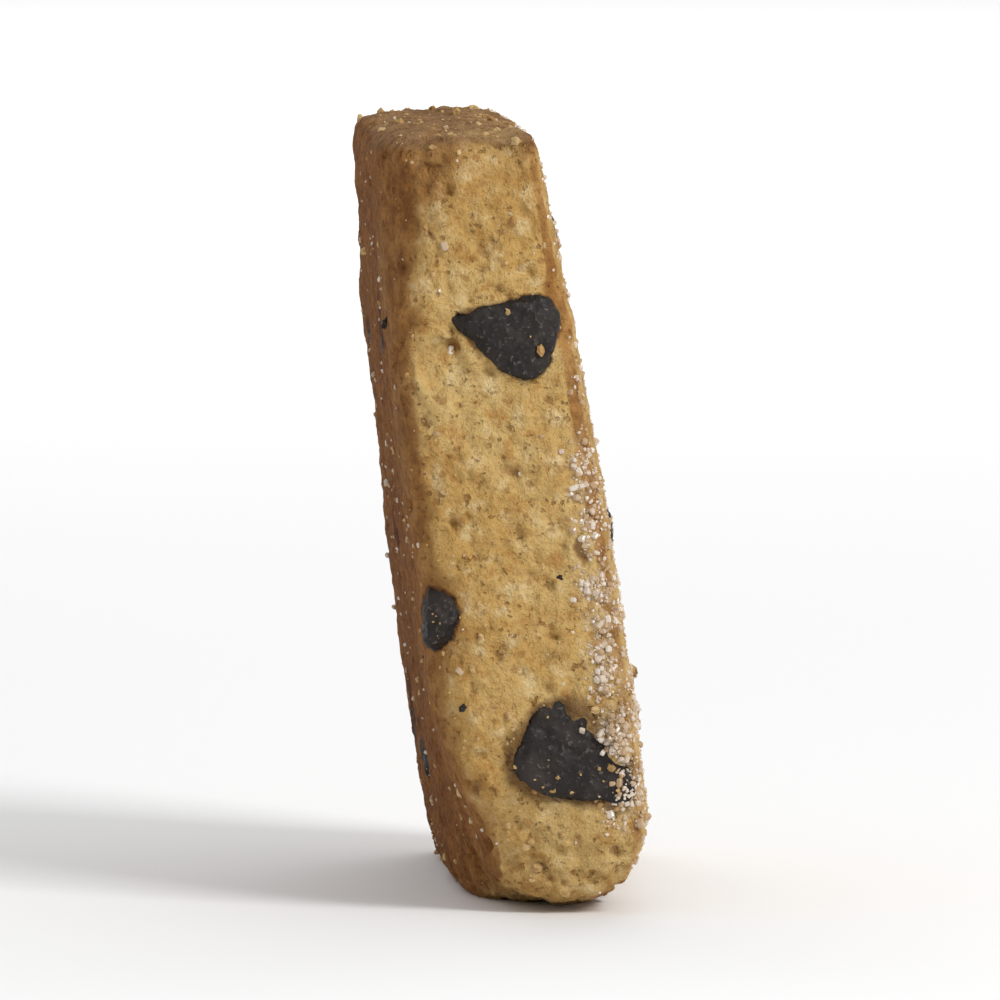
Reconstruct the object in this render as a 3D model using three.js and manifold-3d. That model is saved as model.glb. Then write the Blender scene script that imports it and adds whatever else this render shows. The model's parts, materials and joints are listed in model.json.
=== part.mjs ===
// A chocolate chip cookie: one thick square biscuit standing upright on a cut edge.
//
// Millimetres, +Z up. The front cut edge faces -Y and the back one +Y. The crown, the sugared face
// that was on top in the oven, faces +X, and the base, the flat face that lay on the tray, faces -X.
// The dough is one solid with a pocket for each chocolate chip, and every chip is a solid of its own.

import * as THREE from 'three';
import { mergeVertices } from 'three/addons/utils/BufferGeometryUtils.js';
import { ImprovedNoise } from 'three/addons/math/ImprovedNoise.js';
import Module from 'manifold-3d';

// Driving dimensions of the dough
const HEIGHT = 54.6;
const DEPTH = 49.6;
const THICKNESS = 14;
const END_ROUND = 2.4; // along the depth, where the front and back cut edges turn
const UPPER_ROUND = 1.8; // up the height, where the upper edge turns
const LOWER_ROUND = 3.4; // and where the lower one does
const CROWN_ROUND = 1.6; // across the thickness, where a cut edge meets the crown
const BASE_ROUND = 3.6; // and where it meets the base
const LEAN_DEGREES = 7.7; // the cookie leans a little towards its base
const FOOT_SINK = 0.7; // how much of the lowest edge is worn flat to make the foot

// How the slab departs from an even one
const THICKEST_AT = -0.55; // height of the thickest place, from -1 at the foot to 1 at the upper edge
const THINNING = 0.085; // how fast the thickness falls off above and below that place
const CROWN_DOME = 0.5; // rise of the crown's middle
const EDGE_BOW = 0.5; // outward bow of each cut edge, halfway along
const LUMP_SIZE = 6.5; // width of the lumps all over the dough
const LUMP_HEIGHT = 0.55; // their height on the cut edges
const LUMP_ON_FACES = 0.55; // their share of that height on the crown and the base
const FINER_LUMPS = { size: 0.5, height: 0.5, shift: 7 }; // a second set, as shares of the first

// Places where the baked slab is worn or pinched in: centre, reach along each axis and depth
const HOLLOWS = [
  { at: [-7.5, -26, 0], reach: [15, 24, 15], depth: 3.8 },
  { at: [8, -26, -1], reach: [9, 50, 8], depth: 4.8 },
  { at: [-7, 25, 52], reach: [9, 9, 9], depth: 1.6 },
  { at: [7, 26, 22], reach: [8, 8, 8], depth: 1 },
  { at: [-7, -25, 50], reach: [7, 8, 11], depth: 1.6 },
];

// Grid of the dough's faces, drawn closer together near the rims
const STEPS_THROUGH = 8;
const STEPS_ALONG = 21;
const STEPS_UP = 23;
const CROWDING = 1.1;

// Chocolate chips
const CHIP_HEIGHT = 0.62; // base to shoulder, for a width of 1
const CHIP_TIP = 0.3; // further height of the tip
const CHIP_TAPER = 0.4; // loss of width from base to tip
const CHIP_FULLNESS = 1.18; // makes up for the taper, so that the widest place has the stated width
const CHIP_SHOULDER = 0.8; // roundness of the outline, 1 for a ball's
const CHIP_TIP_SHARPNESS = 4; // how late the tip begins to rise
const CHIP_SIDES = 9;
const CHIP_RINGS = 7;
const CHIP_LUMPS = 0.18; // unevenness for a width of 1
const CHIP_LUMP_SIZE = 0.33; // width of that unevenness, as a share of the chip's
const CHIP_DIFFERENCE = 1.7; // step through the pattern from one chip to the next
const POCKET_GAP = 0.36; // clear space round a chip in its pocket
const CHIP_PROUD = { front: 0.45, back: 0.5, base: -0.1, crown: 0.25 }; // above the dough
const PRESSED = 0.85; // how flat the knife or the tray left what stood further out

const MERGE_WITHIN = 1e-4; // corners nearer than this are one

// Each chip: its face, where it sits on that face from -1 to 1, its width, how far its middle is sunk
// under the surface, how far its tip tips over from straight out, and which way it then points.
// Places on the crown and the base are [along Y, up Z], and on the cut edges [along X, up Z].
// A chip that was drawn out has a longer tail than CHIP_TIP.
const CHIPS = [
  { face: 'front', place: [0.5, 0.5], width: 6.6, sunk: 0.6, tip: 92, turn: 166, tail: 0.62 },
  { face: 'front', place: [0.13, -0.54], width: 8, sunk: 0.9, tip: 80, turn: 326, tail: 0.7 },
  { face: 'base', place: [-0.9, -0.22], width: 5.8, sunk: 1.5, tip: 60, turn: 250 },
  { face: 'base', place: [-0.42, 0.52], width: 7.2, sunk: 0.9, tip: 160, turn: 80 },
  { face: 'base', place: [0.12, -0.04], width: 6.8, sunk: 0.8, tip: 100, turn: 310 },
  { face: 'base', place: [0.58, 0.5], width: 7.6, sunk: 1, tip: 175, turn: 130 },
  { face: 'base', place: [0.6, -0.52], width: 7, sunk: 0.9, tip: 75, turn: 200 },
  { face: 'base', place: [0.08, -0.6], width: 7.2, sunk: 1, tip: 140, turn: 30 },
  { face: 'crown', place: [-0.18, 0.66], width: 7.4, sunk: 0.8, tip: 35, turn: 100 },
  { face: 'crown', place: [-0.04, -0.1], width: 8, sunk: 0.9, tip: 78, turn: 230 },
  { face: 'crown', place: [0.24, 0.36], width: 7.2, sunk: 0.8, tip: 110, turn: 320 },
  { face: 'crown', place: [0.66, 0.74], width: 6.8, sunk: 0.9, tip: 30, turn: 60 },
  { face: 'crown', place: [0.68, -0.36], width: 7.8, sunk: 1.1, tip: 150, turn: 170 },
  { face: 'crown', place: [0.12, -0.62], width: 7, sunk: 0.7, tip: 62, turn: 10 },
  { face: 'crown', place: [-0.44, -0.46], width: 6.4, sunk: 1.1, tip: 85, turn: 280 },
  { face: 'back', place: [-0.3, 0.34], width: 7.2, sunk: 0.7, tip: 82, turn: 40 },
  { face: 'back', place: [0.38, -0.3], width: 8.2, sunk: 0.8, tip: 70, turn: 190 },
  { face: 'back', place: [0.2, 0.8], width: 6, sunk: 0.7, tip: 95, turn: 290 },
];

const wasm = await Module();
wasm.setup();
const noise = new ImprovedNoise();

const doughFinish = new THREE.MeshStandardMaterial({ color: 0xc4a067, roughness: 0.9, metalness: 0 });
const chocolateFinish = new THREE.MeshStandardMaterial({ color: 0x33281f, roughness: 0.6, metalness: 0 });

// A closed geometry whose triangles share their corners, with nothing but positions
function shareCorners(geometry) {
  geometry.deleteAttribute('normal');
  geometry.deleteAttribute('uv');
  return mergeVertices(geometry, MERGE_WITHIN);
}

function toSolid(geometry) {
  const mesh = new wasm.Mesh({
    numProp: 3,
    vertProperties: new Float32Array(geometry.attributes.position.array),
    triVerts: new Uint32Array(geometry.index.array),
  });
  return new wasm.Manifold(mesh);
}

function toGeometry(solid) {
  const mesh = solid.getMesh();
  const geometry = new THREE.BufferGeometry();
  geometry.setAttribute('position', new THREE.BufferAttribute(new Float32Array(mesh.vertProperties), 3));
  geometry.setIndex(new THREE.BufferAttribute(new Uint32Array(mesh.triVerts), 1));
  return geometry;
}

// Even lumps in three dimensions, about -1 to 1
function lumps(point, size, shift = 0) {
  return noise.noise(point.x / size + shift, point.y / size - shift, point.z / size + 2 * shift);
}

// The slab before its lean: where a point of the cube from -1 to 1 lies on the dough's skin, with
// the foot's edge below z = 0, and which way the skin faces there
function doughSkin(cube) {
  const half = new THREE.Vector3(THICKNESS, DEPTH, HEIGHT + FOOT_SINK).multiplyScalar(0.5);
  const rimRound = cube.x > 0 ? CROWN_ROUND : BASE_ROUND;
  const edgeRound = cube.z > 0 ? UPPER_ROUND : LOWER_ROUND;
  const round = new THREE.Vector3(rimRound, END_ROUND, edgeRound);
  const flat = half.clone().sub(round);
  const onBox = cube.clone().multiply(half);
  const inner = onBox.clone().clamp(flat.clone().negate(), flat);
  const outward = onBox.sub(inner).divide(round).normalize();
  const point = outward.clone().multiply(round).add(inner);
  const normal = outward.divide(round).normalize();

  const along = point.y / half.y;
  const up = point.z / half.z;
  point.x *= 1 - THINNING * (up - THICKEST_AT) ** 2;
  if (point.x > 0) {
    point.x += CROWN_DOME * (point.x / half.x) * (1 - along ** 2) * (1 - up ** 2);
  }
  point.y += EDGE_BOW * along * (1 - up ** 2);
  point.z += EDGE_BOW * up * (1 - along ** 2);
  point.z += half.z - FOOT_SINK;

  const onCutEdge = 1 - Math.abs(normal.x);
  const lumpHeight = LUMP_HEIGHT * (LUMP_ON_FACES + (1 - LUMP_ON_FACES) * onCutEdge);
  const finer = FINER_LUMPS.height * lumps(point, LUMP_SIZE * FINER_LUMPS.size, FINER_LUMPS.shift);
  let shift = lumpHeight * (lumps(point, LUMP_SIZE) + finer);
  for (const hollow of HOLLOWS) {
    const away = point.clone().sub(new THREE.Vector3(...hollow.at));
    const near = 1 - away.divide(new THREE.Vector3(...hollow.reach)).length();
    if (near > 0) {
      shift -= hollow.depth * near * near * (3 - 2 * near);
    }
  }
  return { point: point.addScaledVector(normal, shift), normal };
}

// The same place once the cookie stands on its foot and leans
function standing(point) {
  point.z = Math.max(point.z, 0);
  point.x -= Math.tan(THREE.MathUtils.degToRad(LEAN_DEGREES)) * point.z;
  return point;
}

// An even step from -1 to 1, moved towards the nearer end
function crowded(step) {
  return Math.sin(step * CROWDING) / Math.sin(CROWDING);
}

function doughBlank() {
  const cube = shareCorners(new THREE.BoxGeometry(2, 2, 2, STEPS_THROUGH, STEPS_ALONG, STEPS_UP));
  const positions = cube.attributes.position;
  for (let i = 0; i < positions.count; i += 1) {
    const corner = [positions.getX(i), positions.getY(i), positions.getZ(i)];
    const { point } = doughSkin(new THREE.Vector3(...corner.map(crowded)));
    positions.setXYZ(i, ...standing(point));
  }
  return cube;
}

// A softened drop of chocolate with its tip along +Z, its middle at the origin
function chipDrop({ width, tail = CHIP_TIP }, seed) {
  const profile = [];
  for (let i = 0; i <= CHIP_RINGS; i += 1) {
    const t = i / CHIP_RINGS;
    const radius = 0.5 * CHIP_FULLNESS * Math.sin(Math.PI * t) ** CHIP_SHOULDER * (1 - CHIP_TAPER * t);
    const height = -0.5 * CHIP_HEIGHT * Math.cos(Math.PI * t) + tail * t ** CHIP_TIP_SHARPNESS;
    const atPole = i === 0 || i === CHIP_RINGS;
    profile.push(new THREE.Vector2(atPole ? 0 : radius * width, height * width));
  }
  const drop = shareCorners(new THREE.LatheGeometry(profile, CHIP_SIDES).rotateX(Math.PI / 2));
  const positions = drop.attributes.position;
  const corner = new THREE.Vector3();
  for (let i = 0; i < positions.count; i += 1) {
    corner.fromBufferAttribute(positions, i);
    const swell = 1 + CHIP_LUMPS * lumps(corner, width * CHIP_LUMP_SIZE, seed * CHIP_DIFFERENCE);
    positions.setXYZ(i, ...corner.multiplyScalar(swell));
  }
  return drop;
}

// The same drop with its skin moved out evenly, to hollow out a pocket
function swollen(geometry, gap) {
  const larger = geometry.clone();
  larger.computeVertexNormals();
  const positions = larger.attributes.position;
  const normals = larger.attributes.normal;
  const corner = new THREE.Vector3();
  const normal = new THREE.Vector3();
  for (let i = 0; i < positions.count; i += 1) {
    normal.fromBufferAttribute(normals, i);
    corner.fromBufferAttribute(positions, i).addScaledVector(normal, gap);
    positions.setXYZ(i, ...corner);
  }
  larger.deleteAttribute('normal');
  return larger;
}

// The place on the cube from -1 to 1 that a chip's face and place on it mean
function cubePlace(face, [first, second]) {
  const places = {
    front: [first, -1, second],
    back: [first, 1, second],
    base: [-1, first, second],
    crown: [1, first, second],
  };
  return new THREE.Vector3(...places[face]);
}

// Turns the mesh and puts it in the dough, and gives the direction straight out of the dough there
function placeChip(mesh, chip) {
  const { point, normal } = doughSkin(cubePlace(chip.face, chip.place));
  standing(point);
  mesh.position.copy(point).addScaledVector(normal, -chip.sunk);
  const outwards = new THREE.Quaternion().setFromUnitVectors(new THREE.Vector3(0, 0, 1), normal);
  const tip = THREE.MathUtils.degToRad(chip.tip);
  const turn = THREE.MathUtils.degToRad(chip.turn);
  const tipped = new THREE.Quaternion().setFromEuler(new THREE.Euler(0, tip, turn, 'ZYX'));
  mesh.quaternion.copy(outwards.multiply(tipped));
  mesh.updateMatrixWorld();
  return normal;
}

// Presses in what stands further out of the dough than the knife or the tray left it
function pressChip(mesh, chip, normal) {
  const out = normal.clone().applyQuaternion(mesh.quaternion.clone().invert());
  const limit = chip.sunk + CHIP_PROUD[chip.face];
  const positions = mesh.geometry.attributes.position;
  const corner = new THREE.Vector3();
  for (let i = 0; i < positions.count; i += 1) {
    corner.fromBufferAttribute(positions, i);
    const beyond = corner.dot(out) - limit;
    if (beyond > 0) {
      corner.addScaledVector(out, -PRESSED * beyond);
      positions.setXYZ(i, ...corner);
    }
  }
}

const cookie = new THREE.Group();
let dough = toSolid(doughBlank());
const countOnFace = {};

CHIPS.forEach((chip, index) => {
  countOnFace[chip.face] = (countOnFace[chip.face] ?? 0) + 1;
  const drop = chipDrop(chip, index + 1);
  const mesh = new THREE.Mesh(drop, chocolateFinish.clone());
  mesh.name = `chip_${chip.face}_${countOnFace[chip.face]}`;
  pressChip(mesh, chip, placeChip(mesh, chip));
  const pocket = swollen(drop, POCKET_GAP).applyMatrix4(mesh.matrixWorld);
  dough = dough.subtract(toSolid(pocket));
  cookie.add(mesh);
});

const doughMesh = new THREE.Mesh(toGeometry(dough), doughFinish);
doughMesh.name = 'dough';
cookie.add(doughMesh);

// The origin is under the middle of the whole cookie, on the surface that it stands on
const box = new THREE.Box3().setFromObject(cookie, true);
const middle = box.getCenter(new THREE.Vector3());
cookie.position.set(-middle.x, -middle.y, -box.min.z);

export default cookie;
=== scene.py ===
import json
import math

import bmesh
import bpy
import numpy as np
from mathutils import Euler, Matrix, Vector, kdtree, noise
from mathutils.bvhtree import BVHTree

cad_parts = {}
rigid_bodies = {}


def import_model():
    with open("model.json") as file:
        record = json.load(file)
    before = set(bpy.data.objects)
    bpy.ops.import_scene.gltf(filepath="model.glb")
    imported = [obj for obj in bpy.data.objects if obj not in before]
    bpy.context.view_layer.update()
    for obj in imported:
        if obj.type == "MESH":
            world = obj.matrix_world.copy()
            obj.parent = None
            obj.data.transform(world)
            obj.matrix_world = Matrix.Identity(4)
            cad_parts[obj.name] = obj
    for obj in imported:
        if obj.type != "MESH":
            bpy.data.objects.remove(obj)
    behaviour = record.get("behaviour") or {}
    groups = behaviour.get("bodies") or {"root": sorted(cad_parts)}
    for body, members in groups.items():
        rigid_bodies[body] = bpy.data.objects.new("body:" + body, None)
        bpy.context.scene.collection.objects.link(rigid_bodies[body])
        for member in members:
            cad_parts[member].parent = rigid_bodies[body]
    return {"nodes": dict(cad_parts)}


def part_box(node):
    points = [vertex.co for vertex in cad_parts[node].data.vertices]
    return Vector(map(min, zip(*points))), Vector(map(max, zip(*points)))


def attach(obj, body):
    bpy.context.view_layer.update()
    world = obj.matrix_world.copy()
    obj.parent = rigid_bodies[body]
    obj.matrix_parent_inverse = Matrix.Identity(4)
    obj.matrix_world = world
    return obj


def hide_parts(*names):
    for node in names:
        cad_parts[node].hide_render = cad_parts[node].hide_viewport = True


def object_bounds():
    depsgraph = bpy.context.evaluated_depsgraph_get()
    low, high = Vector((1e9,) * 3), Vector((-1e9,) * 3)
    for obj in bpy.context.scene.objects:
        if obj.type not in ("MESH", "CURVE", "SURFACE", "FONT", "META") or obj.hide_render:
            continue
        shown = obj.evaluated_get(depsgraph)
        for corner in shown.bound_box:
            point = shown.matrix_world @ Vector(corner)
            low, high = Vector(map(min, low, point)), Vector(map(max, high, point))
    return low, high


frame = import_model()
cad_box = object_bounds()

# A thick square chocolate chip cookie, standing on a cut edge.
# Metres, +Z up. The front cut edge faces -Y, the sugared crown +X and the flat base -X.

MM = 0.001
SEED = 20

WELD = 0.001 * MM  # how near corners are to be merged into one
MASK_STEPS = 20  # how many steps of weight a mask has

# The patterns that break up a surface: the size of each and how high it is in all
CHIP_FACETS = (3.2 * MM, 0.9 * MM)
CHIP_LUMPS = (1.5 * MM, 0.35 * MM)
CHIP_GRAIN = (0.5 * MM, 0.2 * MM)
DOUGH_SWELLS = (5 * MM, 0.5 * MM)
DOUGH_CLUMPS = (2.1 * MM, -0.7 * MM)
DOUGH_LUMPS = (1.05 * MM, -0.45 * MM)
DOUGH_GRAIN = (0.55 * MM, 0.16 * MM)

# How a chip is softened: smoothed so many times, then swollen to make up for it
CHIP_SMOOTHINGS = 30
CHIP_SWELL = 0.3 * MM

# The block that the dough is modelled from, before it is fitted to the frame
BLOCK_OVERSIZE = 0.6 * MM
LEAN = math.radians(-7.7)  # towards the base
CUTS_THROUGH = 11
CUTS_ALONG = 40
CUTS_UP = 42

# Pores: their least and greatest half width in millimetres, and how each runs over the skin
PORES = 1500
LARGE_PORE_EVERY = 20
LARGE_PORE = (0.45, 0.7)
SMALL_PORE = (0.24, 0.4)
PORE_STEPS = (1, 5)
PORE_STRIDE = 0.7  # as a share of its half width
PORE_TURNING = 0.5

# Cracks in the crown, and how each runs
CRACKS = 7
CRACK_MARGIN = 6 * MM
CRACK_STEPS = (20, 60)
CRACK_STRIDE = 0.35 * MM
CRACK_TURNING = 0.16
DEEP = 0.5 * MM  # as deep as the darkest painted shade in a pore or a crack goes

# How the oven browned the dough, and the shade painted on it
BASE_SHADE_REACH = 18 * MM  # how far back from the front cut edge the base is painted paler: painted shade, darker further back
CORNER_ACROSS = 7.3 * MM  # how far across from the box's upper corner the base's brown reaches
CORNER_DOWN = 9.6 * MM  # and how far down from it
UPPER_END = 44 * MM  # the height above which the cookie is browned more
LOWER_END = 9 * MM  # and the height below which it is

# How the dough lies round the chips
POCKET_RIM = 1.1 * MM  # how near a chip the dough is drawn flat before the chips are seated
POCKET_SMOOTHINGS = 80
THIN_MELT = 0.4 * MM  # how far the chocolate has run into the dough round most chips
WIDE_MELT = 1.4 * MM  # and round some of them
BURIED = (0.9, 0.35, 0.5, 1.2, 0.6)  # how far the dough has closed over one chip and the next, in turn

# Where the front cut edge is raised over a chip or dented beside one: the chip, the place across and
# up its box from 0 to 1, how far that reaches to the side and up, and how far out the dough goes
FRONT_MARKS = (
    ("chip_front_2", 0.88, 0.6, 1.6 * MM, 2.1 * MM, 1.2 * MM),
    ("chip_front_1", 0.02, 0.22, 1.7 * MM, 1.9 * MM, -0.7 * MM),
    ("chip_front_1", 0.14, 0.64, 1.5 * MM, 0.7 * MM, -0.5 * MM),
)

# What lies on the cookie: how many of each and their least and greatest size
CRYSTALS = (3900, 0.26 * MM, 0.56 * MM)
GRAINS = (9500, 0.15 * MM, 0.34 * MM)
CRUMBS = (1300, 0.2 * MM, 0.85 * MM)
BITS = (12, 0.4 * MM, 0.9 * MM)
SCATTER = 0.12 * MM  # how far each lies off the middle of the face it was strewn on
STRETCH = (0.7, 1.25)  # how much each is squeezed or drawn out
SINK_SPREAD = (0.7, 1.3)  # how much less or more each is sunk than its kind
CLEAR = 0.12 * MM  # how far a place on a chip stands out of the dough before anything lies on it
LEVEL = 2 * MM  # the height of each of the levels in which the crown is found
THIN_RIM = 13 * MM  # how far back from the front cut edge the crown is only thinly sugared

# The band of sugar along the crown on the front cut edge
BAND_IN = 1.7 * MM  # how far in from the crown its middle lies
BAND_WIDE = 0.95 * MM
BAND_TOP = 36 * MM  # the height where it ends
BAND_FULL = 22 * MM  # the height up to which it is thickest
BAND_FOOT = 5.5 * MM  # the height where it begins
BAND_STRENGTH = 8.0  # how thickly it is sugared, where the crown is 1
STRAY_SUGAR = 0.008  # and the rest of the cookie

# The sizes of the patterns in the dough's colour
BROAD_PATCHES = 9 * MM
MOTTLES = 1.5 * MM
FINE_GRAINS = 0.4 * MM
SPECKS = 1.7 * MM
PORE_GROUPS = 2.5 * MM
FINE_PORES = 0.5 * MM
SUGAR_DUST = 0.5 * MM
SAND = 0.16 * MM
BROWN_AND_SHADE_COVER = 0.88  # how much of the crumb's colour the brown and painted shade of the base and the upper edge hide

# Screen colours, as six hexadecimal digits
COLOURS = {
    "golden": "c39c5c",
    "light golden": "cfae70",
    "pale crumb": "dcc28f",
    "toasted crumb": "ad7c40",
    "toasted grain": "a0723d",
    "toasted speck": "8d5b2c",
    "dark crust": "83532a",
    "light crust": "aa7538",
    # the tray-browned base, made darker in part as painted shade
    "dark base": "683d1e",
    "light base": "945f2f",
    "base stain": "6b3f1b",
    # the upper edge's dull brown, partly the oven's and partly painted shade
    "dark upper edge": "775534",
    "light upper edge": "926f49",
    # painted shade in the fine pores, and in the pits and cracks
    "fine pore": "87572a",
    "hollow": "80522a",
    "melted chocolate": "4c2a1a",
    "sugar dust": "cdb997",
    "loose crumb": "a98048",
    "light loose crumb": "cfb27c",
    "toasted loose crumb": "8f6236",
    "tinged sugar": "c3a27a",
    "clear sugar": "ecdfd0",
    "chocolate": "1f1a18",
    "bloomed chocolate": "362f2b",
    "chocolate speck": "6f6358",
}

# The camera: how far round and up it stands, how far away, and how much it sees across
CAMERA_AZIMUTH = math.radians(-3.2)
CAMERA_ELEVATION = math.radians(4)
CAMERA_DISTANCE = 0.9
CAMERA_FIELD = 0.072
SENSOR = 36

CHIPS = sorted(name for name in frame["nodes"] if name.startswith("chip_"))


# ---------------------------------------------------------------- the maker's tools


def pick(piece):
    """Selects one piece alone and makes it the active one."""
    bpy.ops.object.select_all(action="DESELECT")
    piece.select_set(True)
    bpy.context.view_layer.objects.active = piece


def finish_with(piece, kind, **settings):
    """Adds one modifier to the piece and applies it."""
    pick(piece)
    modifier = piece.modifiers.new(kind.title(), kind)
    for name, value in settings.items():
        setattr(modifier, name, value)
    bpy.ops.object.modifier_apply(modifier=modifier.name)


def settle(piece, name):
    """Names the piece and puts its place in its mesh, so that its object is at the origin."""
    pick(piece)
    bpy.ops.object.transform_apply(location=True, rotation=True, scale=True)
    piece.name = name
    piece.data.name = name


def select_edges_along(piece, axis):
    """In edit mode: selects the edges that run along one of the block's own axes."""
    shape = bmesh.from_edit_mesh(piece.data)
    for edge in shape.edges:
        run = edge.verts[1].co - edge.verts[0].co
        edge.select_set(abs(run[axis]) > 0.99 * run.length)
    shape.select_flush_mode()
    bmesh.update_edit_mesh(piece.data)


def places(piece):
    spots = np.zeros(len(piece.data.vertices) * 3, np.float32)
    piece.data.vertices.foreach_get("co", spots)
    return spots.reshape(-1, 3).astype(float)


def facings(piece):
    normals = np.zeros(len(piece.data.vertices) * 3, np.float32)
    piece.data.vertex_normals.foreach_get("vector", normals)
    return normals.reshape(-1, 3).astype(float)


def move_to(piece, spots):
    piece.data.vertices.foreach_set("co", spots.astype(np.float32).ravel())
    piece.data.update()


def paint_on(piece, name, amounts):
    """Keeps one number for each corner of the mesh, which the finishes read."""
    layer = piece.data.attributes.new(name, "FLOAT", "POINT")
    layer.data.foreach_set("value", np.clip(amounts, 0, 1).astype(np.float32))


def painted_amounts(piece, name):
    amounts = np.zeros(len(piece.data.vertices), np.float32)
    piece.data.attributes[name].data.foreach_get("value", amounts)
    return amounts


def mask(piece, name, amounts):
    """A vertex group with these weights, in even steps."""
    group = piece.vertex_groups.new(name=name)
    steps = np.round(np.clip(amounts, 0, 1) * MASK_STEPS).astype(int)
    for step in range(1, MASK_STEPS + 1):
        group.add(np.nonzero(steps == step)[0].tolist(), step / MASK_STEPS, "REPLACE")
    return name


def roughen(piece, kind, size, height, group="", **looks):
    """Raises and lowers the surface by a procedural pattern of that size, by that height in all."""
    pattern = bpy.data.textures.new(kind, kind)
    pattern.noise_scale = size
    for name, value in looks.items():
        setattr(pattern, name, value)
    finish_with(piece, "DISPLACE", texture=pattern, texture_coords="LOCAL", strength=height,
                mid_level=0.5, vertex_group=group)
    bpy.data.textures.remove(pattern)


def ease(amount):
    amount = np.clip(amount, 0, 1)
    return amount * amount * (3 - 2 * amount)


def patches(spots, size, shift=0.0):
    """Soft patches of about that size over these places, -1 to 1."""
    return np.array([noise.noise(Vector(spot) / size + Vector((shift, 0, 0))) for spot in spots])


# ---------------------------------------------------------------- what the frame gives


def form_of(name):
    """A merged copy of one CAD node, to fit a new mesh to."""
    pick(frame["nodes"][name])
    bpy.ops.object.duplicate()
    form = bpy.context.view_layer.objects.active
    bpy.ops.object.parent_clear(type="CLEAR_KEEP_TRANSFORM")
    bpy.ops.object.mode_set(mode="EDIT")
    bpy.ops.mesh.select_all(action="SELECT")
    bpy.ops.mesh.remove_doubles(threshold=WELD)
    bpy.ops.object.mode_set(mode="OBJECT")
    for key in [key for key in form.keys() if key.startswith("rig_")]:
        del form[key]
    return form


def throw_away(piece):
    mesh = piece.data
    bpy.data.objects.remove(piece)
    bpy.data.meshes.remove(mesh)


# ---------------------------------------------------------------- chocolate chips


def model_chip(name):
    """A softened, chunky drop of chocolate in the place of one CAD chip."""
    form = form_of(name)
    low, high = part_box(name)
    bpy.ops.object.select_all(action="DESELECT")
    bpy.ops.mesh.primitive_ico_sphere_add(subdivisions=6, radius=(high - low).length / 2,
                                          location=(low + high) / 2)
    chip = bpy.context.object
    settle(chip, "drop_" + name.removeprefix("chip_"))
    finish_with(chip, "SHRINKWRAP", target=form, wrap_method="PROJECT",
                use_negative_direction=True, use_positive_direction=False)
    throw_away(form)
    finish_with(chip, "SMOOTH", factor=0.5, iterations=CHIP_SMOOTHINGS)
    finish_with(chip, "DISPLACE", strength=CHIP_SWELL, mid_level=0)
    roughen(chip, "VORONOI", *CHIP_FACETS, distance_metric="DISTANCE", weight_1=-1.0, weight_2=0.6)
    roughen(chip, "CLOUDS", *CHIP_LUMPS, noise_basis="VORONOI_F1", noise_depth=1)
    roughen(chip, "CLOUDS", *CHIP_GRAIN, noise_basis="BLENDER_ORIGINAL", noise_depth=2)
    pick(chip)
    bpy.ops.object.shade_smooth()
    return chip


# ---------------------------------------------------------------- the dough


def block_of_dough():
    """A cube drawn out to the slab, cut across and fitted to the frame's dough."""
    low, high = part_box("dough")
    lean = abs(math.tan(LEAN)) * (high.z - low.z)
    size = high - low - Vector((lean, 0, 0)) + Vector((1, 1, 1)) * BLOCK_OVERSIZE
    bpy.ops.object.select_all(action="DESELECT")
    bpy.ops.mesh.primitive_cube_add(size=1, scale=size)
    block = bpy.context.object
    bpy.ops.object.transform_apply(location=False, rotation=False, scale=True)
    bpy.ops.object.mode_set(mode="EDIT")
    bpy.ops.mesh.select_mode(type="EDGE")
    for axis, cuts in enumerate((CUTS_THROUGH, CUTS_ALONG, CUTS_UP)):
        select_edges_along(block, axis)
        bpy.ops.mesh.subdivide(number_cuts=cuts)
    bpy.ops.object.mode_set(mode="OBJECT")
    block.rotation_euler = (0, LEAN, 0)
    block.location = (low + high) / 2
    settle(block, "baked_dough")
    form = form_of("dough")
    finish_with(block, "SHRINKWRAP", target=form, wrap_method="NEAREST_SURFACEPOINT")
    throw_away(form)
    return block


class Solids:
    """The skins of some pieces together, to measure from."""

    def __init__(self, pieces):
        corners, faces, self.owners = [], [], []
        for number, piece in enumerate(pieces):
            start = len(corners)
            corners.extend(vertex.co.copy() for vertex in piece.data.vertices)
            faces.extend([start + index for index in face.vertices] for face in piece.data.polygons)
            self.owners.extend([number] * len(piece.data.polygons))
        self.tree = BVHTree.FromPolygons(corners, faces)

    def measure(self, spots, furthest):
        """How far each spot is from the nearest skin, less than zero inside it, and whose skin that is."""
        reach = np.full(len(spots), furthest)
        whose = np.zeros(len(spots), int)
        for index, spot in enumerate(spots):
            place, normal, face, distance = self.tree.find_nearest(Vector(spot), furthest)
            if face is not None:
                inside = (Vector(spot) - place).dot(normal) < 0
                reach[index] = -distance if inside else distance
                whose[index] = self.owners[face]
        return reach, whose


def fill_pockets(dough, chips):
    """Draws the dough flat across the pockets, by smoothing what lies over them."""
    reach, _ = chips.measure(places(dough), 2 * MM)
    bpy.context.tool_settings.mesh_select_mode = (True, False, False)
    pick(dough)
    bpy.ops.object.mode_set(mode="EDIT")
    bpy.ops.mesh.select_all(action="DESELECT")
    bpy.ops.object.mode_set(mode="OBJECT")
    dough.data.vertices.foreach_set("select", reach < POCKET_RIM)
    bpy.ops.object.mode_set(mode="EDIT")
    bpy.ops.mesh.vertices_smooth(factor=0.5, repeat=POCKET_SMOOTHINGS)
    bpy.ops.object.mode_set(mode="OBJECT")


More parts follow.
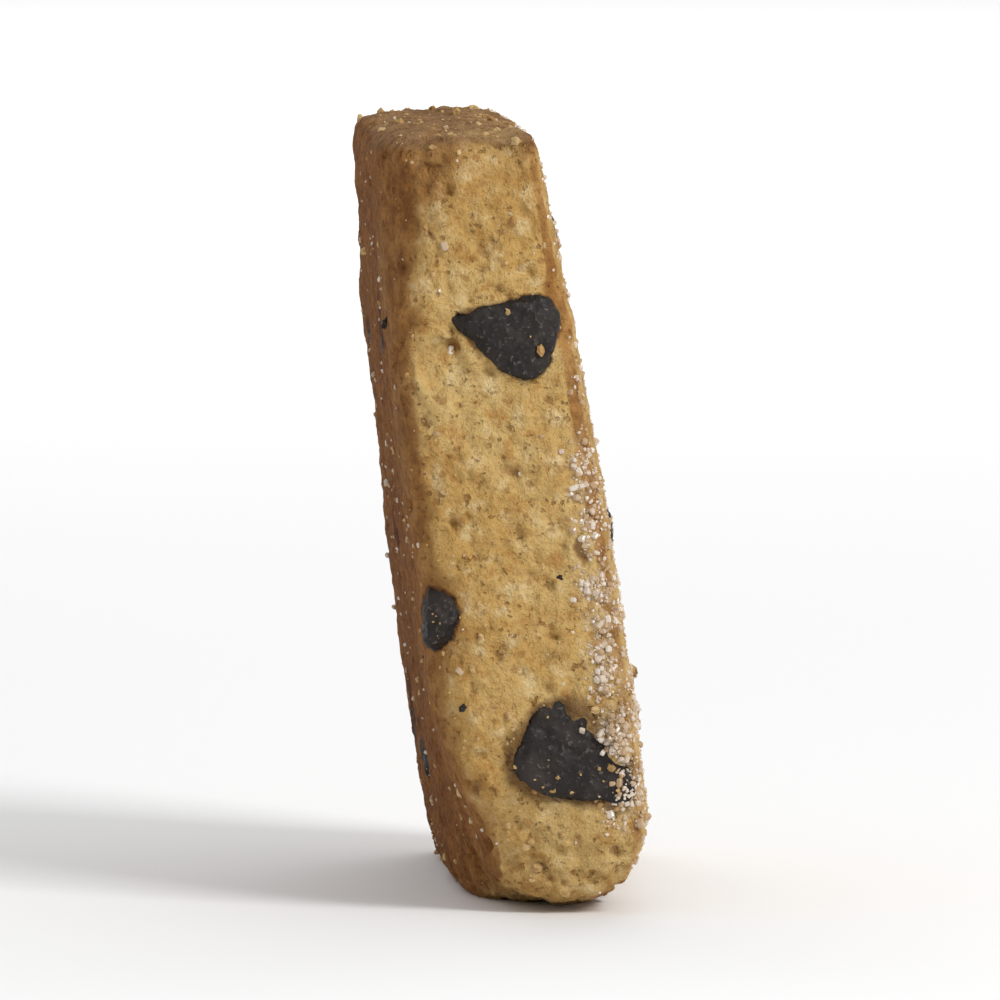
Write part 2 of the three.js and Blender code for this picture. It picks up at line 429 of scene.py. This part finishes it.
def seat_chips(dough, chips, base):
    """Sinks the dough under each chip and raises an uneven lip round it, over the chip's edge in places."""
    spots, normals = places(dough), facings(dough)
    reach, whose = chips.measure(spots, 3 * MM)
    near = np.nonzero(reach < 2.9 * MM)[0]
    uneven = np.zeros(len(spots))
    uneven[near] = 0.8 * patches(spots[near], 1.1 * MM) + 0.9 * patches(spots[near], 2.6 * MM, 5.0)
    buried = np.array(BURIED)[whose % len(BURIED)] * (1 - 0.8 * base)
    closed = 0.1 + 0.8 * buried * np.clip(1.4 * uneven + 0.3, 0, 1)
    lip = closed * np.exp(-((reach + 0.05 * MM) / (0.55 * MM * (0.6 + 0.4 * buried))) ** 2)
    sunk = 0.6 * ease((-reach - 0.5 * MM) / (0.25 * MM))
    move_to(dough, spots + normals * ((lip - sunk) * MM)[:, None])
    paint_on(dough, "covered", reach < -0.35 * MM)
    spread = np.where(whose % 5 == 2, WIDE_MELT, THIN_MELT) * (1 + 0.6 * uneven)
    paint_on(dough, "melt", ease(1 - reach / spread) * ease((reach + 0.6 * MM) / (0.5 * MM)))


def mark_front(dough):
    """Draws the dough out over the side of one front chip, and dents it beside the other."""
    spots = places(dough)
    front = np.nonzero(spots[:, 1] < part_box("dough")[0].y + 4 * MM)[0]
    ragged = 0.35 * patches(spots[front], 1.3 * MM, 2.0)
    for name, across, up, wide, high, out in FRONT_MARKS:
        low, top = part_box(name)
        aside = (spots[front, 0] - (low.x + across * (top.x - low.x))) / wide
        above = (spots[front, 2] - (low.z + up * (top.z - low.z))) / high
        spots[front, 1] -= out * ease((1.25 - np.hypot(aside, above) + ragged) / 0.6)
    move_to(dough, spots)


def press_in(dough, name, points, widths, depths):
    """Presses small round hollows into the skin, and keeps under that name how deep each place is."""
    spots, normals = places(dough), facings(dough)
    tree = kdtree.KDTree(len(spots))
    for index, spot in enumerate(spots):
        tree.insert(spot, index)
    tree.balance()
    pressed = np.zeros(len(spots))
    for point, width, depth in zip(points, widths, depths):
        for _, index, distance in tree.find_range(point, width):
            pressed[index] = max(pressed[index], depth * (1 - (distance / width) ** 2))
    move_to(dough, spots - normals * pressed[:, None])
    paint_on(dough, name, pressed / DEEP)


def wander(skin, start, heading, steps, stride, turning, rng):
    """A crooked line of points over the skin."""
    point, normal, _, _ = skin.find_nearest(Vector(start))
    heading = Vector(heading)
    path = []
    for _ in range(steps):
        path.append(point.copy())
        heading = (heading + Vector(rng.normal(0, turning, 3))).normalized()
        heading -= normal * heading.dot(normal)
        point, normal, _, _ = skin.find_nearest(point + heading.normalized() * stride)
    return path


def faces_of(piece):
    """Each face's middle, direction and area."""
    count = len(piece.data.polygons)
    middles, normals, areas = np.zeros(count * 3), np.zeros(count * 3), np.zeros(count)
    piece.data.polygons.foreach_get("center", middles)
    piece.data.polygons.foreach_get("normal", normals)
    piece.data.polygons.foreach_get("area", areas)
    return middles.reshape(-1, 3), normals.reshape(-1, 3), areas


def crumble(dough, cut, rim):
    """Gives the even skin its lumps, clumps and grains, coarser where the cookie was cut."""
    uneven = 0.5 + 0.5 * patches(places(dough), 6 * MM)
    coarse = mask(dough, "coarse", (0.3 + 0.5 * cut + 0.3 * rim) * (0.4 + uneven))
    fine = mask(dough, "fine", (0.5 + 0.5 * cut) * (1.4 - uneven))
    roughen(dough, "CLOUDS", *DOUGH_SWELLS, noise_basis="ORIGINAL_PERLIN", noise_depth=1)
    roughen(dough, "VORONOI", *DOUGH_CLUMPS, coarse, distance_metric="DISTANCE_SQUARED")
    roughen(dough, "VORONOI", *DOUGH_LUMPS, fine, distance_metric="DISTANCE_SQUARED")
    roughen(dough, "CLOUDS", *DOUGH_GRAIN, noise_basis="BLENDER_ORIGINAL", noise_depth=2)


def open_pores(dough, skin, rng):
    """Short crooked hollows, most of them in the cut edges."""
    middles, normals, areas = faces_of(dough)
    chance = areas * (0.3 + 1 - np.abs(normals[:, 0]))
    picks = rng.choice(len(middles), PORES, replace=False, p=chance / chance.sum())
    points, widths, depths = [], [], []
    for number, start in enumerate(middles[picks]):
        large = number % LARGE_PORE_EVERY == 0
        size = rng.uniform(*(LARGE_PORE if large else SMALL_PORE)) * MM
        heading = rng.normal(0, 1, 3)
        steps = rng.integers(*PORE_STEPS)
        for point in wander(skin, start, heading, steps, PORE_STRIDE * size, PORE_TURNING, rng):
            points.append(point)
            widths.append(size * rng.uniform(0.7, 1.1))
            depths.append(size * rng.uniform(0.6, 1.2))
    press_in(dough, "pit", points, widths, depths)


def crack_crown(dough, skin, rng):
    """Wandering cracks across the crown, widest halfway."""
    low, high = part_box("dough")
    points, widths, depths = [], [], []
    for _ in range(CRACKS):
        start = (high.x, rng.uniform(low.y + CRACK_MARGIN, high.y - CRACK_MARGIN),
                 rng.uniform(low.z + CRACK_MARGIN, high.z - CRACK_MARGIN))
        turn = rng.uniform(0, math.tau)
        heading = (0, math.cos(turn), math.sin(turn))
        steps = rng.integers(*CRACK_STEPS)
        path = wander(skin, start, heading, steps, CRACK_STRIDE, CRACK_TURNING, rng)
        for step, point in enumerate(path):
            swell = math.sin(math.pi * (step + 0.5) / len(path))
            points.append(point)
            widths.append((0.3 + 0.2 * swell) * rng.uniform(0.7, 1.3) * MM)
            depths.append(0.5 * swell * rng.uniform(0.5, 1.2) * MM)
    press_in(dough, "crack", points, widths, depths)


def brown(dough, spots, base, crown, rim, crown_rim, upper):
    """Marks how deeply the oven browned each place, and paints shade on the base away from the front edge
    and on the upper edge.
    """
    patchy = patches(spots, 7 * MM, 3.0)
    height = spots[:, 2]
    ends = np.maximum(ease((height - UPPER_END) / (9 * MM)), ease((LOWER_END - height) / (8 * MM)))
    baked = (base * (0.85 + 0.3 * patchy),
             rim * (0.35 + 0.4 * patchy),
             crown_rim * (0.7 + 0.4 * patchy),
             crown * (0.3 + 0.3 * patchy),
             ends * (0.38 + 0.3 * patchy))
    paint_on(dough, "baked", np.maximum.reduce(baked))
    low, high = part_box("dough")
    from_corner = (spots[:, 0] - low.x) / CORNER_ACROSS + (high.z - height) / CORNER_DOWN
    corner = ease(0.5 + (1 - from_corner) / 0.35 + 0.4 * patchy)
    # painted shade: the base is painted paler near the front cut edge and darker further back, on top of
    # its real brown
    back_from_front = (spots[:, 1] - low.y) / BASE_SHADE_REACH
    base_brown_and_shade = base * (0.52 + 0.48 * ease(back_from_front + 0.25 * patchy))
    paint_on(dough, "base", np.maximum(base_brown_and_shade, 0.7 * corner))
    # the upper edge's dull brown: partly the oven's, partly painted shade
    paint_on(dough, "upper", upper * (0.92 + 0.35 * patchy))


def stand_on_foot(dough):
    """Presses flat whatever reaches below the floor."""
    spots = places(dough)
    spots[:, 2] = np.maximum(spots[:, 2], 0)
    move_to(dough, spots)


def model_dough(chips, rng):
    dough = block_of_dough()
    fill_pockets(dough, chips)
    finish_with(dough, "SUBSURF", levels=2, render_levels=2)
    even, spots = facings(dough), places(dough)
    crown = ease((even[:, 0] - 0.5) / 0.35)
    base = ease((-even[:, 0] - 0.06 + 0.16 * patches(spots, 3 * MM, 6.0)) / 0.92)
    rim = ease((1 - np.abs(even).max(axis=1)) / 0.22)
    crown_rim = ease((even[:, 0] - 0.1) / 0.3) * ease((0.98 - even[:, 0]) / 0.2)
    upper = ease((even[:, 2] - 0.38 + 0.4 * patches(spots, 2.5 * MM, 8.0)) / 0.6)
    crumble(dough, (1 - crown - base) * (1 - 0.5 * upper), rim)
    seat_chips(dough, chips, base)
    mark_front(dough)
    skin = Solids([dough]).tree
    open_pores(dough, skin, rng)
    crack_crown(dough, skin, rng)
    brown(dough, spots, base, crown, rim, crown_rim, upper)
    paint_on(dough, "facing", 0.5 + 0.5 * even[:, 0])
    stand_on_foot(dough)
    pick(dough)
    bpy.ops.object.shade_smooth()
    return dough


# ---------------------------------------------------------------- sugar and crumbs


def crystal():
    """One grain of coarse sugar, a cube with its edges taken off, 1 across."""
    bpy.ops.object.select_all(action="DESELECT")
    bpy.ops.mesh.primitive_cube_add(size=1, scale=(1, 0.86, 0.74))
    grain = bpy.context.object
    bpy.ops.object.transform_apply(location=False, rotation=False, scale=True)
    bpy.ops.object.mode_set(mode="EDIT")
    bpy.ops.mesh.select_all(action="SELECT")
    bpy.ops.mesh.bevel(offset=0.17, segments=1, affect="EDGES")
    bpy.ops.object.mode_set(mode="OBJECT")
    return grain


def lump(turn, subdivisions, kept=1.0):
    """One jagged lump, about 1 across: a ball broken up by two sizes of pattern.

    kept is the share of its faces that it keeps.
    """
    bpy.ops.object.select_all(action="DESELECT")
    bpy.ops.mesh.primitive_ico_sphere_add(subdivisions=subdivisions, radius=0.45,
                                          rotation=(turn, 2 * turn, 0))
    bit = bpy.context.object
    bpy.ops.object.transform_apply(location=False, rotation=True, scale=False)
    roughen(bit, "CLOUDS", 0.55, 0.9, noise_basis="ORIGINAL_PERLIN", noise_depth=1)
    roughen(bit, "CLOUDS", 0.2, 0.35, noise_basis="ORIGINAL_PERLIN", noise_depth=1)
    if kept < 1:
        finish_with(bit, "DECIMATE", ratio=kept)
    return bit


def sow(name, seeds, points, outs, sizes, sink, rng):
    """Joins a copy of one of the seeds at each point, turned at random.

    sink is the share of its size by which each is sunk. What would reach below the floor is left out.
    """
    shapes = []
    for seed in seeds:
        shapes.append((places(seed), [tuple(face.vertices) for face in seed.data.polygons]))
        throw_away(seed)
    corners, faces, tints = [], [], []
    start = 0
    for number, (point, out, size) in enumerate(zip(points, outs, sizes)):
        shape, sides = shapes[number % len(shapes)]
        turned = np.array(Euler(rng.uniform(0, math.tau, 3)).to_matrix())
        stretch = rng.uniform(*STRETCH, 3)
        tint = rng.uniform()
        lift = 0.5 - sink * rng.uniform(*SINK_SPREAD)
        placed = (shape * stretch * size) @ turned.T + point + out * size * lift
        if placed[:, 2].min() < 0:
            continue
        corners.append(placed)
        faces.extend(tuple(start + index for index in side) for side in sides)
        tints.extend([tint] * len(shape))
        start += len(shape)
    mesh = bpy.data.meshes.new(name)
    mesh.from_pydata(np.concatenate(corners).tolist(), [], faces)
    heap = bpy.data.objects.new(name, mesh)
    bpy.context.collection.objects.link(heap)
    paint_on(heap, "tint", np.array(tints))
    return heap


class Ground:
    """The open faces of the dough and of what stands out of the chips, to strew things on."""

    def __init__(self, dough, chips):
        middles, normals, areas = faces_of(dough)
        first_corners = [face.vertices[0] for face in dough.data.polygons]
        areas = areas * (1 - painted_amounts(dough, "covered")[first_corners])
        facing = 2 * painted_amounts(dough, "facing")[first_corners] - 1
        found = [(middles, normals, areas, facing, np.zeros(len(areas)))]
        skin = Solids([dough])
        for chip in chips:
            middles, normals, areas = faces_of(chip)
            height, _ = skin.measure(middles, 2 * MM)
            clear = height > CLEAR
            middles, normals, areas = middles[clear], normals[clear], areas[clear]
            found.append((middles, normals, areas, normals[:, 0], np.ones(len(areas))))
        columns = [np.concatenate(part) for part in zip(*found)]
        self.middles, self.normals, self.areas, self.facing, self.on_chip = columns
        self.cut = 1 - np.abs(self.facing)
        self.front = ease((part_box("dough")[0].y + 5 * MM - self.middles[:, 1]) / (3 * MM))
        self.height = self.middles[:, 2]
        self.inward = self.depth_under_crown()

    def depth_under_crown(self):
        """How far each place lies in from the crown, across the thickness."""
        across = self.middles[:, 0] - math.tan(LEAN) * self.height
        levels = (self.height / LEVEL).astype(int)
        crown = np.full(levels.max() + 1, across.min())
        np.maximum.at(crown, levels, np.where(self.front > 0.5, across, across.min()))
        return np.interp(self.height, (np.arange(len(crown)) + 0.5) * LEVEL, crown) - across

    def strew(self, chance, count, rng):
        """Picks that many faces, by their area and their chance."""
        chance = self.areas * np.clip(chance, 0, None)
        picks = rng.choice(len(chance), count, replace=False, p=chance / chance.sum())
        aside = np.cross(rng.normal(0, SCATTER, (count, 3)), self.normals[picks])
        return self.middles[picks] + aside, self.normals[picks]


def sugar_chance(ground):
    """Most on the crown and in a band along it on the front cut edge, and hardly any elsewhere."""
    rimward = ease((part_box("dough")[0].y + THIN_RIM - ground.middles[:, 1]) / (0.7 * THIN_RIM))
    above_band = ease((ground.height - BAND_TOP) / (6 * MM))
    crown = ease((ground.facing - 0.45) / 0.35) * (1 - rimward * (0.78 + 0.18 * above_band))
    band = np.exp(-((ground.inward - BAND_IN) / BAND_WIDE) ** 2) * ground.front * (1 - crown)
    band *= ease((BAND_TOP - ground.height) / (6 * MM)) * ease((ground.height - BAND_FOOT) / (2 * MM))
    band *= 0.25 + 0.75 * ease((BAND_FULL + 3 * MM - ground.height) / (5 * MM))
    band *= 0.2 + 1.6 * ease(0.5 + 1.5 * patches(ground.middles, 1.7 * MM, 11.0))
    patchy = 0.55 + 1.1 * np.clip(patches(ground.middles, 4 * MM, 9.0), -0.45, 1)
    return (crown + BAND_STRENGTH * band + STRAY_SUGAR) * patchy * (1 - 0.6 * ground.on_chip)


def dust_with_sugar(dough, ground):
    """Marks on the dough how thickly the sugar lies, for the fine dust between its grains."""
    lying = 1 - np.exp(-sugar_chance(ground) / 1.6)
    dusted = np.zeros(len(dough.data.vertices))
    for face, amount in zip(dough.data.polygons, lying):
        for corner in face.vertices:
            dusted[corner] = max(dusted[corner], amount)
    paint_on(dough, "dusted", dusted)


def crumb_chance(ground):
    """Most on the cut edges, and more low down and on the chips, where crumbs cling."""
    low_down = ease((10 * MM - ground.height) / (10 * MM))
    patchy = 0.7 + np.clip(patches(ground.middles, 3 * MM, 4.0), -0.5, 1)
    return (0.05 + 0.85 * ground.cut + 0.3 * low_down) * patchy * (1 + 0.4 * ground.on_chip)


def sizes_between(measure, rng, favour=1.0):
    """Sizes for a scattering, mostly small ones where favour is over 1."""
    count, least, greatest = measure
    return least + (greatest - least) * rng.uniform(0, 1, count) ** favour


def model_crystals(ground, rng):
    points, outs = ground.strew(sugar_chance(ground), CRYSTALS[0], rng)
    sizes = sizes_between(CRYSTALS, rng, favour=1.5)
    return sow("sugar_crystals", [crystal()], points, outs, sizes, sink=0.52, rng=rng)


def model_grains(ground, rng):
    points, outs = ground.strew(sugar_chance(ground), GRAINS[0], rng)
    sizes = sizes_between(GRAINS, rng)
    seeds = [lump(turn, subdivisions=1) for turn in range(4)]
    return sow("sugar_grains", seeds, points, outs, sizes, sink=0.5, rng=rng)


def model_crumbs(ground, rng):
    points, outs = ground.strew(crumb_chance(ground), CRUMBS[0], rng)
    sizes = sizes_between(CRUMBS, rng, favour=4)
    seeds = [lump(turn, subdivisions=2, kept=0.5) for turn in range(6)]
    return sow("crumbs", seeds, points, outs, sizes, sink=0.62, rng=rng)


def model_bits(ground, rng):
    points, outs = ground.strew(1 - ground.on_chip, BITS[0], rng)
    sizes = sizes_between(BITS, rng, favour=2)
    seeds = [lump(turn, subdivisions=3) for turn in range(5)]
    return sow("chocolate_bits", seeds, points, outs, sizes, sink=0.72, rng=rng)


# ---------------------------------------------------------------- finishes


def colour(name):
    """One of the screen colours, as Blender's linear one."""
    code = COLOURS[name]
    parts = [int(code[i:i + 2], 16) / 255 for i in (0, 2, 4)]
    return [c / 12.92 if c <= 0.04045 else ((c + 0.055) / 1.055) ** 2.4 for c in parts] + [1]


class Finish:
    """A material with the short calls that lay its nodes."""

    def __init__(self, name):
        self.material = bpy.data.materials.new(name)
        self.material.use_nodes = True
        self.tree = self.material.node_tree
        self.shader = self.tree.nodes["Principled BSDF"]
        self.spot = self.add("ShaderNodeTexCoord").outputs["Object"]

    def add(self, kind, **settings):
        node = self.tree.nodes.new(kind)
        for name, value in settings.items():
            setattr(node, name, value)
        return node

    def feed(self, socket, value):
        """Links the socket to another's value, or sets it to a number or a colour."""
        if hasattr(value, "is_linked"):
            self.tree.links.new(value, socket)
        else:
            socket.default_value = value

    def noise(self, size, detail=3, roughness=0.55):
        """Soft cloudy patches of about that size, 0 to 1."""
        node = self.add("ShaderNodeTexNoise")
        self.feed(node.inputs["Vector"], self.spot)
        node.inputs["Scale"].default_value = 1 / size
        node.inputs["Detail"].default_value = detail
        node.inputs["Roughness"].default_value = roughness
        return node.outputs["Fac"]

    def cells(self, size):
        """How far each place is from the nearest of some scattered points, that size apart."""
        node = self.add("ShaderNodeTexVoronoi")
        self.feed(node.inputs["Vector"], self.spot)
        node.inputs["Scale"].default_value = 1 / size
        return node.outputs["Distance"]

    def painted(self, name):
        """What was painted on the mesh under that name."""
        return self.add("ShaderNodeAttribute", attribute_name=name).outputs["Fac"]

    def ramp(self, value, start, end, low=0.0, high=1.0):
        """Eases from low to high as the value goes from start to end."""
        node = self.add("ShaderNodeMapRange", interpolation_type="SMOOTHSTEP")
        for name, number in (("Value", value), ("From Min", start), ("From Max", end),
                             ("To Min", low), ("To Max", high)):
            self.feed(node.inputs[name], number)
        return node.outputs["Result"]

    def combine(self, kind, first, second):
        node = self.add("ShaderNodeMath", operation=kind)
        self.feed(node.inputs[0], first)
        self.feed(node.inputs[1], second)
        return node.outputs[0]

    def times(self, first, second):
        return self.combine("MULTIPLY", first, second)

    def mix(self, amount, first, second):
        """Goes from the first colour to the second by that amount."""
        node = self.add("ShaderNodeMix", data_type="RGBA")
        self.feed(node.inputs[0], amount)
        self.feed(node.inputs[6], first)
        self.feed(node.inputs[7], second)
        return node.outputs[2]

    def raise_by(self, height, distance):
        """Gives the surface fine relief, that high where the height is 1."""
        node = self.add("ShaderNodeBump")
        self.feed(node.inputs["Height"], height)
        node.inputs["Distance"].default_value = distance
        node.inputs["Strength"].default_value = 1
        return node.outputs["Normal"]

    def wear(self, piece):
        piece.data.materials.clear()
        piece.data.materials.append(self.material)


def golden_crumb(look, broad, mottle, grain):
    """The colour of the dough where the oven hasn't browned it."""
    crumb = look.mix(look.ramp(broad, 0.35, 0.65), colour("golden"), colour("light golden"))
    crumb = look.mix(look.ramp(mottle, 0.5, 0.72), crumb, colour("pale crumb"))
    crumb = look.mix(look.ramp(mottle, 0.48, 0.3, 0, 0.75), crumb, colour("toasted crumb"))
    crumb = look.mix(look.ramp(grain, 0.5, 0.3, 0, 0.4), crumb, colour("toasted grain"))
    specks = look.ramp(look.cells(SPECKS), 0.22, 0.1, 0, 0.5)
    return look.mix(specks, crumb, colour("toasted speck"))


def brown_and_shade_crumb(look, crumb, broad, mottle, grain):
    """Browns the rims, the base and the upper edge; the brown of the base and of the upper edge is partly
    painted shade.
    """
    patchy = look.ramp(mottle, 0.35, 0.65)
    browned = look.ramp(look.painted("baked"), 0.1, 1.0, 0, 0.85)
    crumb = look.mix(browned, crumb, look.mix(patchy, colour("dark crust"), colour("light crust")))
    scorched = look.combine("ADD", look.times(mottle, 0.45), look.times(grain, 0.55))
    base = look.mix(look.ramp(scorched, 0.38, 0.62), colour("dark base"), colour("light base"))
    base = look.mix(look.ramp(broad, 0.4, 0.65, 0, 0.5), base, colour("base stain"))
    crumb = look.mix(look.times(look.painted("base"), BROWN_AND_SHADE_COVER), crumb, base)
    # the dull upper edge, partly painted shade
    upper = look.mix(patchy, colour("dark upper edge"), colour("light upper edge"))
    return look.mix(look.times(look.painted("upper"), BROWN_AND_SHADE_COVER), crumb, upper)


def darken_hollows(look, crumb, fine_pores, grain):
    """Paints shade into the fine pores, and into the pits and cracks the deeper they go, and darkens the
    dough that the chocolate has run into.
    """
    crumb = look.mix(look.times(fine_pores, 0.6), crumb, colour("fine pore"))
    hollow = look.combine("MAXIMUM", look.painted("pit"), look.painted("crack"))
    crumb = look.mix(look.ramp(hollow, 0.15, 1.0, 0, 0.62), crumb, colour("hollow"))
    uneven_melt = look.combine("ADD", look.painted("melt"), look.times(grain, 0.5))
    return look.mix(look.ramp(uneven_melt, 0.6, 1.4, 0, 0.85), crumb, colour("melted chocolate"))


def dough_finish():
    look = Finish("baked_dough")
    broad = look.noise(BROAD_PATCHES, 2)
    mottle = look.noise(MOTTLES, 4, 0.6)
    grain = look.noise(FINE_GRAINS, 3, 0.6)
    gathered = look.ramp(look.noise(PORE_GROUPS, 2), 0.4, 0.58)
    # fine pores, dented in the relief and darkened with painted shade
    fine_pores = look.times(look.ramp(look.noise(FINE_PORES, 2, 0.5), 0.4, 0.3), gathered)
    crumb = golden_crumb(look, broad, mottle, grain)
    crumb = brown_and_shade_crumb(look, crumb, broad, mottle, grain)
    crumb = darken_hollows(look, crumb, fine_pores, grain)
    dust = look.times(look.ramp(look.noise(SUGAR_DUST, 3), 0.4, 0.62), look.painted("dusted"))
    crumb = look.mix(look.times(dust, 0.6), crumb, colour("sugar dust"))
    look.feed(look.shader.inputs["Base Color"], crumb)
    look.shader.inputs["Roughness"].default_value = 0.85
    look.shader.inputs["Specular IOR Level"].default_value = 0.14
    sandy = look.combine("ADD", grain, look.times(look.noise(SAND, 2), 0.35))
    height = look.combine("SUBTRACT", sandy, look.times(fine_pores, 0.45))
    look.feed(look.shader.inputs["Normal"], look.raise_by(height, 0.36 * MM))
    return look


def crumb_finish():
    look = Finish("loose_crumb")
    grain = look.noise(0.5 * MM, 3)
    crumb = look.mix(look.painted("tint"), colour("loose crumb"), colour("light loose crumb"))
    crumb = look.mix(look.ramp(grain, 0.5, 0.3, 0, 0.5), crumb, colour("toasted loose crumb"))
    look.feed(look.shader.inputs["Base Color"], crumb)
    look.shader.inputs["Roughness"].default_value = 0.85
    look.feed(look.shader.inputs["Normal"], look.raise_by(grain, 0.15 * MM))
    return look


def sugar_finish():
    look = Finish("coarse_sugar")
    tint = look.ramp(look.painted("tint"), 0.1, 1.0)
    pale = look.mix(tint, colour("tinged sugar"), colour("clear sugar"))
    look.feed(look.shader.inputs["Base Color"], pale)
    look.feed(look.shader.inputs["Roughness"], look.ramp(look.noise(0.6 * MM), 0.3, 0.7, 0.12, 0.35))
    look.shader.inputs["Transmission Weight"].default_value = 0.12
    look.shader.inputs["IOR"].default_value = 1.5
    return look


def chocolate_finish():
    look = Finish("dark_chocolate")
    bloom = look.noise(2.2 * MM, 3)
    grain = look.noise(0.35 * MM, 3)
    dark = look.mix(look.ramp(bloom, 0.45, 0.7), colour("chocolate"), colour("bloomed chocolate"))
    dark = look.mix(look.ramp(grain, 0.56, 0.74, 0, 0.7), dark, colour("chocolate speck"))
    look.shader.inputs["Specular IOR Level"].default_value = 0.3
    look.feed(look.shader.inputs["Base Color"], dark)
    look.feed(look.shader.inputs["Roughness"], look.ramp(bloom, 0.3, 0.7, 0.45, 0.7))
    look.feed(look.shader.inputs["Normal"], look.raise_by(grain, 0.12 * MM))
    return look


# ---------------------------------------------------------------- the set


def set_floor():
    bpy.ops.object.select_all(action="DESELECT")
    bpy.ops.mesh.primitive_plane_add(size=6, location=(0, 0, 0))
    floor = bpy.context.object
    settle(floor, "floor")
    paint = bpy.data.materials.new("pale_floor")
    paint.use_nodes = True
    paint.node_tree.nodes["Principled BSDF"].inputs["Base Color"].default_value = (0.93, 0.93, 0.93, 1)
    paint.node_tree.nodes["Principled BSDF"].inputs["Roughness"].default_value = 0.9
    floor.data.materials.append(paint)


def set_light(name, place, aim, size, power):
    lamp = bpy.data.lights.new(name, "AREA")
    lamp.size = size
    lamp.energy = power
    light = bpy.data.objects.new(name, lamp)
    bpy.context.collection.objects.link(light)
    light.location = place
    light.rotation_euler = (Vector(aim) - Vector(place)).to_track_quat("-Z", "Y").to_euler()


def set_room():
    world = bpy.data.worlds.new("soft_room")
    bpy.context.scene.world = world
    world.use_nodes = True
    world.node_tree.nodes["Background"].inputs["Color"].default_value = (1, 1, 1, 1)
    world.node_tree.nodes["Background"].inputs["Strength"].default_value = 0.5


def set_camera(aim):
    camera = bpy.data.objects.new("camera", bpy.data.cameras.new("camera"))
    bpy.context.collection.objects.link(camera)
    away = Vector((math.sin(CAMERA_AZIMUTH) * math.cos(CAMERA_ELEVATION),
                   -math.cos(CAMERA_AZIMUTH) * math.cos(CAMERA_ELEVATION),
                   math.sin(CAMERA_ELEVATION)))
    camera.location = aim + away * CAMERA_DISTANCE
    camera.rotation_euler = (-away).to_track_quat("-Z", "Y").to_euler()
    camera.data.sensor_width = SENSOR
    camera.data.lens = SENSOR * CAMERA_DISTANCE / CAMERA_FIELD
    camera.data.clip_start = 0.01
    bpy.context.scene.camera = camera


# ---------------------------------------------------------------- the work

rng = np.random.default_rng(SEED)
chips = [model_chip(name) for name in CHIPS]
dough = model_dough(Solids(chips), rng)
ground = Ground(dough, chips)
dust_with_sugar(dough, ground)
crystals = model_crystals(ground, rng)
grains = model_grains(ground, rng)
crumbs = model_crumbs(ground, rng)
bits = model_bits(ground, rng)

chocolate = chocolate_finish()
sugar = sugar_finish()
pieces = [(dough, dough_finish(), "baked_dough"), (crumbs, crumb_finish(), "baked_dough"),
          (crystals, sugar, "sugar"), (grains, sugar, "sugar"), (bits, chocolate, "chocolate")]
pieces += [(chip, chocolate, "chocolate") for chip in chips]
for piece, finish, slot in pieces:
    finish.wear(piece)
    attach(piece, "root")

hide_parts("dough")
for chip, name in zip(chips, CHIPS):
    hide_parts(name)

set_floor()
set_room()
middle = (Vector(cad_box[0]) + Vector(cad_box[1])) / 2
set_light("key", place=(0.45, -0.5, 0.55), aim=middle, size=0.3, power=4.2)
set_light("far_floor", place=(0, 1.4, 1.1), aim=(0, 1.5, 0), size=1.6, power=16)
set_camera(middle)
bpy.context.scene.view_settings.view_transform = "Standard"
